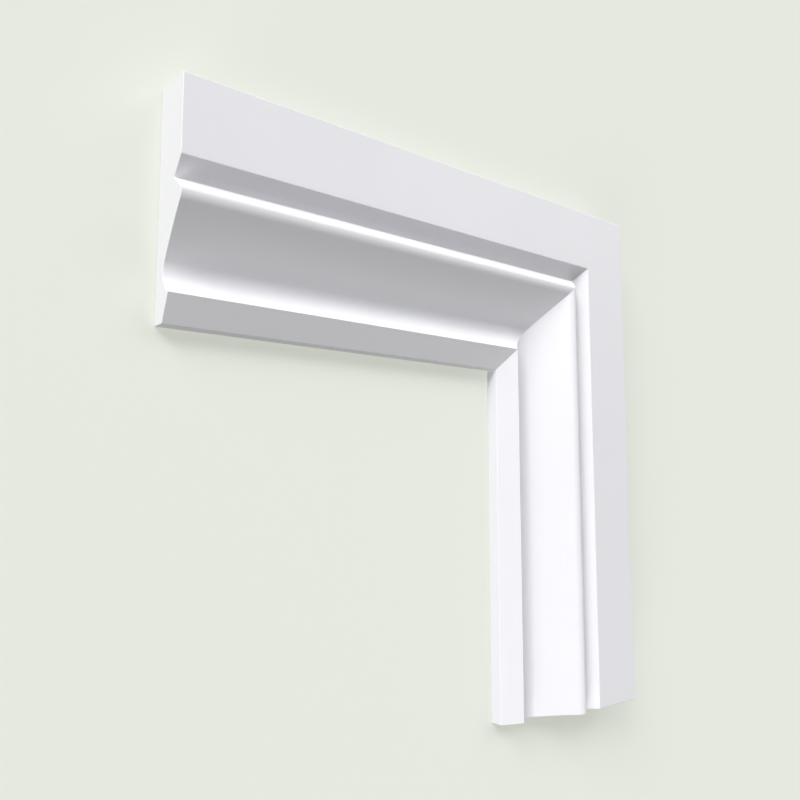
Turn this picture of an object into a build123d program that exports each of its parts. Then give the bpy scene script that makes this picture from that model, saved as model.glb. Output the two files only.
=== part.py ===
from build123d import *
from math import sqrt
import os

# A mitred corner of painted architrave: a head length and a leg length of one moulding, meeting at 45 degrees.
# It lies on its flat back. X runs along the head, Y up the leg, Z out of the wall. All sizes are millimetres.

# Whole moulding
face_width = 120.0
thickness = 25.0
inner_edge_thickness = 8.1
head_length = 349.0
leg_length = 346.5

# Flat outer band and the quirk beside it
band_width = 40.8
quirk_bevel_width = 9.5
quirk_depth = 7.5

# Nose, the bead that stands just proud of the band
nose_from_quirk = 8.4
nose_proud = 1.4
nose_outer_radius = 3.2
nose_inner_radius = 8.0

# Sweep from the nose down into the cove
sweep_radius = 200.0
cove_radius = 12.0
cove_floor_thickness = 8.0
cove_from_inner_edge = 25.5

# Bevel between the cove and the inner edge
bevel_width = 14.8

# The long arrises of the face, eased by sanding and paint
arris_radius = 0.4

# The section is drawn with its first coordinate across the face, from the outer edge to the inner edge,
# and its second coordinate out from the back.
outer_edge = Vector(0, thickness)
band_edge = Vector(band_width, thickness)
inner_edge = Vector(face_width, inner_edge_thickness)
quirk = Vector(band_width + quirk_bevel_width, thickness - quirk_depth)
nose_top = Vector(quirk.X + nose_from_quirk, thickness + nose_proud)
cove_floor = Vector(face_width - cove_from_inner_edge, cove_floor_thickness)
cove_centre = cove_floor + Vector(0, cove_radius)


def tangent_point(start, centre, radius):
    """Where a line from start touches a circle that lies on the line's right."""
    reach = centre - start
    run = sqrt(reach.length**2 - radius**2)
    along = reach * (run / reach.length**2)
    across = Vector(-along.Y, along.X) * (radius / run)
    return start + (along + across) * run


def sweep_centre(nose_centre):
    """Centre of the hollow arc that runs smoothly out of the nose and into the cove."""
    to_nose = sweep_radius + nose_inner_radius
    to_cove = sweep_radius - cove_radius
    span = cove_centre - nose_centre
    along = (to_nose**2 - to_cove**2 + span.length**2) / (2 * span.length)
    across = sqrt(to_nose**2 - along**2)
    direction = span.normalized()
    return nose_centre + direction * along + Vector(-direction.Y, direction.X) * across


def arc_between(start, end, centre, radius):
    """The shorter arc from start to end round centre."""
    middle = ((start + end) / 2 - centre).normalized()
    return ThreePointArc(start, centre + middle * radius, end)


def eased(face, corners):
    """The face with the arrises at these corners rounded."""
    arrises = [face.vertices().sort_by_distance(corner)[0] for corner in corners]
    return face.fillet_2d(arris_radius, arrises)


def section():
    """Closed outline of the moulding, filled."""
    outer_nose_centre = nose_top - Vector(0, nose_outer_radius)
    inner_nose_centre = nose_top - Vector(0, nose_inner_radius)
    hollow_centre = sweep_centre(inner_nose_centre)
    nose_start = tangent_point(quirk, outer_nose_centre, nose_outer_radius)
    sweep_start = inner_nose_centre + (hollow_centre - inner_nose_centre).normalized() * nose_inner_radius
    sweep_end = hollow_centre + (cove_centre - hollow_centre).normalized() * sweep_radius
    arris_reach = cove_from_inner_edge - bevel_width
    arris = cove_centre + Vector(arris_reach, -sqrt(cove_radius**2 - arris_reach**2))
    outline = [
        Polyline((0, 0), outer_edge, band_edge, quirk, nose_start),
        arc_between(nose_start, nose_top, outer_nose_centre, nose_outer_radius),
        arc_between(nose_top, sweep_start, inner_nose_centre, nose_inner_radius),
        arc_between(sweep_start, sweep_end, hollow_centre, sweep_radius),
        arc_between(sweep_end, arris, cove_centre, cove_radius),
        Polyline(arris, inner_edge, (face_width, 0), (0, 0)),
    ]
    return eased(make_face(outline).face(), [outer_edge, band_edge, arris, inner_edge])


# The corner is first made with its outer mitre point at the origin. The section stands across the head there,
# and the mitre plane halves the square corner.
across_head = Plane(origin=(0, 0, 0), x_dir=(0, -1, 0), z_dir=(-1, 0, 0))
mitre_plane = Plane(origin=(0, 0, 0), x_dir=(0, 0, 1), z_dir=(-1, 1, 0))


def mitred_length(length):
    """A length of moulding along X, with a square end at -length and its mitre at the origin."""
    stock = extrude(across_head * section(), amount=length)
    return split(stock, bisect_by=mitre_plane, keep=Keep.TOP)


head = mitred_length(head_length)
leg = mirror(mitred_length(leg_length), about=mitre_plane)

# The origin is on the floor below the middle of the corner's outside rectangle.
to_middle = Pos(head_length / 2, leg_length / 2, 0)
pieces = {
    "head_architrave": to_middle * head,
    "leg_architrave": to_middle * leg,
}

os.makedirs("parts", exist_ok=True)
for name, piece in pieces.items():
    export_step(piece, f"parts/{name}.step")
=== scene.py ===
from math import cos, pi, radians, sin, sqrt

import bpy
from mathutils import Matrix, Vector


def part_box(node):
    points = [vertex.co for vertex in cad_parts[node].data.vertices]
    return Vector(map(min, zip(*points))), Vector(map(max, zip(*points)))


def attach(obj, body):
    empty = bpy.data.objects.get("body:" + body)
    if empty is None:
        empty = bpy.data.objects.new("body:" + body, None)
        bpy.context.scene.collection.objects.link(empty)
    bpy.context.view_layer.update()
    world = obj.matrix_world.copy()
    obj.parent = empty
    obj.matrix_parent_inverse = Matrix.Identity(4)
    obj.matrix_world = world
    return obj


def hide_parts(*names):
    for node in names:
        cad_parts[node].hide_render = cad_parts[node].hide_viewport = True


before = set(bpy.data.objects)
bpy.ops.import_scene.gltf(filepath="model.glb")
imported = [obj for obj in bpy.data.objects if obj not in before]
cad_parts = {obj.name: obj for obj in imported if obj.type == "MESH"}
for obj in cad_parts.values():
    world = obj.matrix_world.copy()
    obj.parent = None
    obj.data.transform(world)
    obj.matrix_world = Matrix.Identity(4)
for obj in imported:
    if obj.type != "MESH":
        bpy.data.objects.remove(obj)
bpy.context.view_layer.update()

# A mitred corner of white-painted architrave, lying on its flat back on a pale floor.
# The frame's X runs along the head, Y up the leg and Z out of the wall, in metres.
MM = 0.001
UP = Vector((0, 0, 1))

# Section of the moulding, in millimetres: across the face from the outer edge, and out from the back
FACE_WIDTH = 120.0
THICKNESS = 25.0
INNER_EDGE_THICKNESS = 8.1
BAND_WIDTH = 40.8
QUIRK_BEVEL_WIDTH = 9.5
QUIRK_DEPTH = 7.5
NOSE_FROM_QUIRK = 8.4
NOSE_PROUD = 1.4
NOSE_OUTER_RADIUS = 3.2
NOSE_INNER_RADIUS = 8.0
SWEEP_RADIUS = 200.0
COVE_RADIUS = 12.0
COVE_FLOOR_THICKNESS = 8.0
COVE_FROM_INNER_EDGE = 25.5
BEVEL_WIDTH = 14.8

# Straight steps that make up each curve of the section
NOSE_OUTER_STEPS = 12
NOSE_INNER_STEPS = 8
SWEEP_STEPS = 12
COVE_STEPS = 28

# Sanding and paint round every arris a little. An edge that turns by more than the first angle is an arris,
# and steps that turn by less than the second angle are shaded as one smooth curve.
ARRIS_RADIUS = 0.4
ARRIS_SEGMENTS = 4
ARRIS_ANGLE = radians(20)
SMOOTH_ANGLE = radians(28)

# How far past the corner each length is drawn before its mitre is cut, and how near points are joined
MITRE_WASTE = 10.0
JOINED_WITHIN = 0.01

# How much more the broad flats count than narrow steps in the shading where they meet
FLATS_FIRST = 100

# The finishes, in the order of each length's material slots
FACE, CUT_END, BACK = range(3)

# A surface is the back, or a cut end, where its normal's part in that direction is more than this
FACES_BACK = 0.7
FACES_ENDWAYS = 0.6

# The lightest and the darkest tone of each finish
FACE_WHITE, FACE_SHADE = (0.884, 0.884, 0.922, 1), (0.828, 0.829, 0.862, 1)
END_WHITE, END_SHADE = (0.872, 0.876, 0.895, 1), (0.835, 0.838, 0.852, 1)
BACK_WHITE, BACK_SHADE = (0.80, 0.80, 0.805, 1), (0.745, 0.743, 0.74, 1)

# Patterns in the paint, by how many clouds, lines or pits there are to the metre
SLOW_CHANGE = 14
CUTTER_LINES = 520
PAINT_TOOTH = 850
END_FIBRES = 700
ROLLER_MARKS = 320

# How finely the patterns are broken up
PLAIN, BROKEN, CLOUDY = 2.0, 3.0, 4.0

# Lines and fibres run on: their scale along their length, as a share of their scale across it
ALONG_LINES = 0.02
ALONG_FIBRES = 0.25

# Share of the first of two patterns in a tone or a relief
CHANGE_IN_FACE_TONE = 0.7
LINES_IN_FACE_RELIEF = 0.5
FIBRES_IN_END_TONE = 0.5
FIBRES_IN_END_RELIEF = 0.7
MARKS_IN_BACK_TONE = 0.5

# Roughness of each finish: its least, and what its patterns add
FACE_ROUGHNESS, CHANGE_ROUGHENS, TOOTH_ROUGHENS = 0.40, 0.12, 0.08
END_ROUGHNESS, FIBRES_ROUGHEN = 0.52, 0.16
BACK_ROUGHNESS, PRIMER_ROUGHENS = 0.6, 0.2

# Depth of each finish's relief, in millimetres, and the strength of the paint's reflections
FACE_RELIEF = 0.06
END_RELIEF = 0.05
BACK_RELIEF = 0.06
PAINT_GLOSS = 0.4

# The floor's colour in the picture, and the colour with which it lights the object
FLOOR_SEEN = (0.791, 0.815, 0.738, 1)
FLOOR_BOUNCE = (0.26, 0.262, 0.225, 1)

# All the lamps' light on the open floor, and the share of the floor's look that takes no shadow
LIGHT_ON_FLOOR = 0.845
SHADOWLESS_SHARE = 0.62

# The floor's width in metres, and how far below the back it lies in millimetres
FLOOR_SIZE = 12.0
FLOOR_BELOW = 0.05

# Light from all round
ROOM_FILL = 0.02
ROOM_LIGHT = (1, 1, 1, 1)

# The photograph's camera: lens and sensor in millimetres, places in metres
LENS = 34.91
SENSOR_WIDTH = 36.0
NEAREST_SEEN = 0.01
CAMERA_EYE = Vector((-0.3163, -0.02395, 0.3609))
CAMERA_AIM = Vector((-0.0209, 0.0284, 0))
CAMERA_UPRIGHT = Vector((0, 1, 0))


def deselect_all():
    bpy.ops.object.select_all(action="DESELECT")


class SectionPen:
    """Draws the moulding's outline in edit mode, one vertex pulled or swung after another."""

    def __init__(self, corner, across):
        self.corner = corner
        self.across = across
        self.axis = across.cross(UP)
        self.here = Vector((0, 0))

    def place(self, point):
        return self.corner + (self.across * point.x + UP * point.y) * MM

    def line_to(self, point):
        step = self.place(point) - self.place(self.here)
        bpy.ops.mesh.extrude_vertices_move(TRANSFORM_OT_translate={"value": step})
        self.here = point

    def arc_to(self, point, centre, steps):
        angle = (self.here - centre).angle_signed(point - centre)
        bpy.ops.mesh.spin(steps=steps, angle=angle, center=self.place(centre), axis=self.axis)
        self.here = point


def touch_point(start, centre, radius):
    """Where a line from start touches a circle that lies on its right."""
    reach = centre - start
    run = sqrt(reach.length_squared - radius**2)
    along = reach * (run / reach.length_squared)
    across = Vector((-along.y, along.x)) * (radius / run)
    return start + (along + across) * run


def hollow_centre(nose_centre, cove_centre):
    """Centre of the hollow sweep that runs smoothly out of the nose and into the cove."""
    to_nose = SWEEP_RADIUS + NOSE_INNER_RADIUS
    to_cove = SWEEP_RADIUS - COVE_RADIUS
    span = cove_centre - nose_centre
    along = (to_nose**2 - to_cove**2 + span.length_squared) / (2 * span.length)
    across = sqrt(to_nose**2 - along**2)
    direction = span.normalized()
    return nose_centre + direction * along + Vector((-direction.y, direction.x)) * across


def draw_section(pen):
    """The closed outline: band, quirk, nose, sweep, cove, bevel and back."""
    quirk = Vector((BAND_WIDTH + QUIRK_BEVEL_WIDTH, THICKNESS - QUIRK_DEPTH))
    nose_top = Vector((quirk.x + NOSE_FROM_QUIRK, THICKNESS + NOSE_PROUD))
    outer_nose = nose_top - Vector((0, NOSE_OUTER_RADIUS))
    inner_nose = nose_top - Vector((0, NOSE_INNER_RADIUS))
    cove = Vector((FACE_WIDTH - COVE_FROM_INNER_EDGE, COVE_FLOOR_THICKNESS + COVE_RADIUS))
    hollow = hollow_centre(inner_nose, cove)
    sweep_start = inner_nose + (hollow - inner_nose).normalized() * NOSE_INNER_RADIUS
    sweep_end = hollow + (cove - hollow).normalized() * SWEEP_RADIUS
    arris_reach = COVE_FROM_INNER_EDGE - BEVEL_WIDTH
    arris = cove + Vector((arris_reach, -sqrt(COVE_RADIUS**2 - arris_reach**2)))
    pen.line_to(Vector((0, THICKNESS)))
    pen.line_to(Vector((BAND_WIDTH, THICKNESS)))
    pen.line_to(quirk)
    pen.line_to(touch_point(quirk, outer_nose, NOSE_OUTER_RADIUS))
    pen.arc_to(nose_top, outer_nose, NOSE_OUTER_STEPS)
    pen.arc_to(sweep_start, inner_nose, NOSE_INNER_STEPS)
    pen.arc_to(sweep_end, hollow, SWEEP_STEPS)
    pen.arc_to(arris, cove, COVE_STEPS)
    pen.line_to(Vector((FACE_WIDTH, INNER_EDGE_THICKNESS)))
    pen.line_to(Vector((FACE_WIDTH, 0)))
    pen.line_to(Vector((0, 0)))


def moulding_length(name, corner, along, across, length):
    """One length of moulding: its section drawn at the square end, pulled to the corner and mitred there."""
    deselect_all()
    square_end = corner - along * length
    bpy.ops.mesh.primitive_plane_add(size=MM, location=square_end)
    piece = bpy.context.object
    piece.name = name
    bpy.ops.object.mode_set(mode="EDIT")
    bpy.ops.mesh.select_mode(type="VERT")
    bpy.ops.mesh.select_all(action="SELECT")
    bpy.ops.mesh.merge(type="CENTER")
    draw_section(SectionPen(square_end, across))
    bpy.ops.mesh.select_all(action="SELECT")
    bpy.ops.mesh.remove_doubles(threshold=JOINED_WITHIN * MM)
    bpy.ops.mesh.edge_face_add()
    bpy.ops.mesh.select_all(action="SELECT")
    pull = along * (length + MITRE_WASTE * MM)
    bpy.ops.mesh.extrude_region_move(TRANSFORM_OT_translate={"value": pull})
    bpy.ops.mesh.select_all(action="SELECT")
    bpy.ops.mesh.normals_make_consistent(inside=False)
    bpy.ops.object.mode_set(mode="OBJECT")
    bpy.ops.object.transform_apply(location=True, rotation=True, scale=True)
    soften_arrises(piece)
    bpy.ops.object.mode_set(mode="EDIT")
    bpy.ops.mesh.select_all(action="SELECT")
    bpy.ops.mesh.bisect(plane_co=corner, plane_no=along + across, use_fill=True, clear_outer=True)
    bpy.ops.object.mode_set(mode="OBJECT")
    shade(piece)
    return piece


def soften_arrises(piece):
    """Rounds the sharp arrises, as sanding and paint do."""
    bevel = piece.modifiers.new("painted_arris", "BEVEL")
    bevel.width = ARRIS_RADIUS * MM
    bevel.segments = ARRIS_SEGMENTS
    bevel.limit_method = "ANGLE"
    bevel.angle_limit = ARRIS_ANGLE
    bevel.use_clamp_overlap = False
    bpy.ops.object.modifier_apply(modifier=bevel.name)


def shade(piece):
    """Curves shade smoothly and the broad flats stay flat up to their rounded arrises."""
    bpy.ops.object.shade_smooth_by_angle(angle=SMOOTH_ANGLE)
    flats = piece.modifiers.new("flats", "WEIGHTED_NORMAL")
    flats.weight = FLATS_FIRST
    flats.keep_sharp = True
    bpy.ops.object.modifier_apply(modifier=flats.name)


def lay_finishes(piece, along, finishes):
    """The face's paint goes all over, but for the cut ends and the flat back."""
    for finish in finishes:
        piece.data.materials.append(finish)
    for side in piece.data.polygons:
        if -side.normal.z > FACES_BACK:
            side.material_index = BACK
        elif abs(side.normal.dot(along)) > FACES_ENDWAYS:
            side.material_index = CUT_END
        else:
            side.material_index = FACE


class Wire:
    """An output socket in a shader. Adding and multiplying values add Math nodes."""

    def __init__(self, shader, socket):
        self.shader = shader
        self.socket = socket

    def math(self, operation, first, second):
        values = {"Value": first, "Value_001": second}
        return self.shader.node("ShaderNodeMath", {"operation": operation}, values, "Value")

    def __add__(self, other):
        return self.math("ADD", self, other)

    def __radd__(self, other):
        return self.math("ADD", other, self)

    def __mul__(self, other):
        return self.math("MULTIPLY", self, other)

    def __rmul__(self, other):
        return self.math("MULTIPLY", other, self)


class Shader:
    """The nodes behind the surface of one material or world."""

    def __init__(self, owner):
        owner.use_nodes = True
        self.tree = owner.node_tree
        self.surface = next(node for node in self.tree.nodes if "OUTPUT" in node.type).inputs["Surface"]
        self.tree.nodes.remove(self.surface.links[0].from_node)

    def node(self, kind, settings, values, output):
        """Adds a node: its settings first, then a value or a wire on each socket that is named."""
        node = self.tree.nodes.new(kind)
        for name, setting in settings.items():
            setattr(node, name, setting)
        sockets = {socket.identifier: socket for socket in node.inputs}
        for name, value in values.items():
            self.plug(sockets[name], value)
        return Wire(self, next(socket for socket in node.outputs if socket.identifier == output))

    def plug(self, socket, value):
        if isinstance(value, Wire):
            self.tree.links.new(value.socket, socket)
        else:
            socket.default_value = value

    def place(self, stretch=(1, 1, 1)):
        """Where a point is on the object, in metres, with each direction stretched."""
        here = self.node("ShaderNodeTexCoord", {}, {}, "Object")
        return self.node("ShaderNodeMapping", {}, {"Vector": here, "Scale": stretch}, "Vector")

    def noise(self, place, scale, detail):
        """Soft random values round 0.5, with this many to the metre."""
        return self.node("ShaderNodeTexNoise", {}, {"Vector": place, "Scale": scale, "Detail": detail}, "Fac")

    def tone(self, share, light, dark):
        """From the light colour to the dark one as the share goes from 0 to 1."""
        values = {"Factor_Float": share, "A_Color": light, "B_Color": dark}
        return self.node("ShaderNodeMix", {"data_type": "RGBA"}, values, "Result_Color")

    def mixed(self, share, first, second):
        """From the first surface to the second as the share goes from 0 to 1."""
        values = {"Fac": share, "Shader": first, "Shader_001": second}
        return self.node("ShaderNodeMixShader", {}, values, "Shader")

    def seen(self):
        """1 where it is seen itself, in a reflection or through glass, and 0 where it only lights things."""
        rays = ("Is Camera Ray", "Is Glossy Ray", "Is Transmission Ray")
        camera, glossy, through = (self.node("ShaderNodeLightPath", {}, {}, ray) for ray in rays)
        return camera + glossy + through

    def paint(self, colour, roughness, relief, depth):
        """A coat of paint, whose relief from 0 to 1 is this many millimetres deep."""
        bump = self.node("ShaderNodeBump", {}, {"Height": relief, "Distance": depth * MM}, "Normal")
        values = {"Base Color": colour, "Roughness": roughness, "Specular IOR Level": PAINT_GLOSS, "Normal": bump}
        self.plug(self.surface, self.node("ShaderNodeBsdfPrincipled", {}, values, "BSDF"))


def blend(first, second, share):
    """Two patterns added, with this share of the first one."""
    return share * first + (1 - share) * second


def satin_paint(name, stretch):
    """Sprayed satin white over a moulded face, through which the cutters' lines along the run just show."""
    finish = bpy.data.materials.new(name)
    shader = Shader(finish)
    lines = shader.noise(shader.place(stretch), CUTTER_LINES, PLAIN)
    tooth = shader.noise(shader.place(), PAINT_TOOTH, PLAIN)
    change = shader.noise(shader.place(), SLOW_CHANGE, CLOUDY)
    colour = shader.tone(blend(change, lines, CHANGE_IN_FACE_TONE), FACE_WHITE, FACE_SHADE)
    roughness = FACE_ROUGHNESS + CHANGE_ROUGHENS * change + TOOTH_ROUGHENS * tooth
    shader.paint(colour, roughness, blend(lines, tooth, LINES_IN_FACE_RELIEF), FACE_RELIEF)
    return finish


def cut_end_paint():
    """White that has sunk into a sawn end, over fibres that lie in layers parallel to the back."""
    finish = bpy.data.materials.new("cut_end_paint")
    shader = Shader(finish)
    fibres = shader.noise(shader.place((ALONG_FIBRES, ALONG_FIBRES, 1)), END_FIBRES, BROKEN)
    tooth = shader.noise(shader.place(), PAINT_TOOTH, PLAIN)
    colour = shader.tone(blend(fibres, tooth, FIBRES_IN_END_TONE), END_WHITE, END_SHADE)
    roughness = END_ROUGHNESS + FIBRES_ROUGHEN * fibres
    shader.paint(colour, roughness, blend(fibres, tooth, FIBRES_IN_END_RELIEF), END_RELIEF)
    return finish


def back_primer():
    """A thin rolled coat of primer on the side that goes to the wall."""
    finish = bpy.data.materials.new("back_primer")
    shader = Shader(finish)
    marks = shader.noise(shader.place(), ROLLER_MARKS, BROKEN)
    change = shader.noise(shader.place(), SLOW_CHANGE, CLOUDY)
    colour = shader.tone(blend(marks, change, MARKS_IN_BACK_TONE), BACK_WHITE, BACK_SHADE)
    shader.paint(colour, BACK_ROUGHNESS + PRIMER_ROUGHENS * change, marks, BACK_RELIEF)
    return finish


def scaled(colour, share):
    """The colour made this many times as strong."""
    return tuple(part * share for part in colour[:3]) + (1,)


def add_pale_floor():
    """A plain floor that looks pale, keeps a soft shadow and lights the object from below only a little."""
    deselect_all()
    bpy.ops.mesh.primitive_plane_add(size=FLOOR_SIZE, location=(0, 0, -FLOOR_BELOW * MM))
    floor = bpy.context.object
    floor.name = "floor"
    finish = bpy.data.materials.new("pale_floor")
    shader = Shader(finish)
    shadowed = shader.node("ShaderNodeBsdfDiffuse", {}, {"Color": scaled(FLOOR_SEEN, 1 / LIGHT_ON_FLOOR)}, "BSDF")
    even = shader.node("ShaderNodeEmission", {}, {"Color": FLOOR_SEEN}, "Emission")
    bounce = shader.node("ShaderNodeBsdfDiffuse", {}, {"Color": FLOOR_BOUNCE}, "BSDF")
    look_of_floor = shader.mixed(SHADOWLESS_SHARE, shadowed, even)
    shader.plug(shader.surface, shader.mixed(shader.seen(), bounce, look_of_floor))
    floor.data.materials.append(finish)


def add_pale_room():
    """Beyond the floor the room looks as pale as the floor, and fills the shadows a little."""
    room = bpy.data.worlds.new("pale_room")
    bpy.context.scene.world = room
    shader = Shader(room)
    fill = shader.node("ShaderNodeBackground", {}, {"Strength": ROOM_FILL, "Color": ROOM_LIGHT}, "Background")
    wall = shader.node("ShaderNodeBackground", {}, {"Color": FLOOR_SEEN}, "Background")
    shader.plug(shader.surface, shader.mixed(shader.seen(), fill, wall))


def lamp(name, azimuth, elevation, strength, spread):
    """A soft lamp far away. Its direction, counted from X, its height and its spread are in degrees."""
    data = bpy.data.lights.new(name, "SUN")
    data.energy = strength * pi
    data.angle = radians(spread)
    holder = bpy.data.objects.new(name, data)
    bpy.context.scene.collection.objects.link(holder)
    turn, rise = radians(azimuth), radians(elevation)
    towards = Vector((cos(turn) * cos(rise), sin(turn) * cos(rise), sin(rise)))
    holder.rotation_mode = "QUATERNION"
    holder.rotation_quaternion = (-towards).to_track_quat("-Z", "Y")


def add_lamps():
    """A key from the left and the top, and weaker lamps low at the left foot, at the right and high at the top."""
    lamp("left_top_key", azimuth=135, elevation=23, strength=0.895, spread=32)
    lamp("left_foot_skim", azimuth=225, elevation=8.5, strength=0.545, spread=36)
    lamp("right_top", azimuth=45, elevation=35, strength=0.416, spread=40)
    lamp("top_high", azimuth=105, elevation=45, strength=0.217, spread=30)


def look(eye, aim, upright):
    """Camera matrix at eye, looking at aim, with the upright direction up in the picture."""
    back = (eye - aim).normalized()
    right = upright.cross(back).normalized()
    matrix = Matrix((right, back.cross(right), back)).transposed().to_4x4()
    matrix.translation = eye
    return matrix


def add_camera():
    """The photograph's view: from below the head and left of the leg, turned so that the leg stands up."""
    data = bpy.data.cameras.new("camera")
    data.sensor_width = SENSOR_WIDTH
    data.lens = LENS
    data.clip_start = NEAREST_SEEN
    camera = bpy.data.objects.new("camera", data)
    bpy.context.scene.collection.objects.link(camera)
    camera.matrix_world = look(CAMERA_EYE, CAMERA_AIM, CAMERA_UPRIGHT)
    bpy.context.scene.camera = camera


def build_corner():
    """The head and the leg, each mitred at the corner that their outer edges share."""
    head_low, head_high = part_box("head_architrave")
    leg_low, leg_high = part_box("leg_architrave")
    corner = Vector((head_high.x, head_high.y, 0))
    rightward, upward = Vector((1, 0, 0)), Vector((0, 1, 0))
    head = moulding_length("head_moulding", corner, rightward, -upward, head_high.x - head_low.x)
    leg = moulding_length("leg_moulding", corner, upward, -rightward, leg_high.y - leg_low.y)
    cut_end, back = cut_end_paint(), back_primer()
    lay_finishes(head, rightward, (satin_paint("head_satin_paint", (ALONG_LINES, 1, 1)), cut_end, back))
    lay_finishes(leg, upward, (satin_paint("leg_satin_paint", (1, ALONG_LINES, 1)), cut_end, back))
    for piece, node in ((head, "head_architrave"), (leg, "leg_architrave")):
        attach(piece, "root")
        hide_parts(node)


build_corner()
add_pale_floor()
add_pale_room()
add_lamps()
add_camera()
bpy.context.scene.view_settings.view_transform = "Standard"
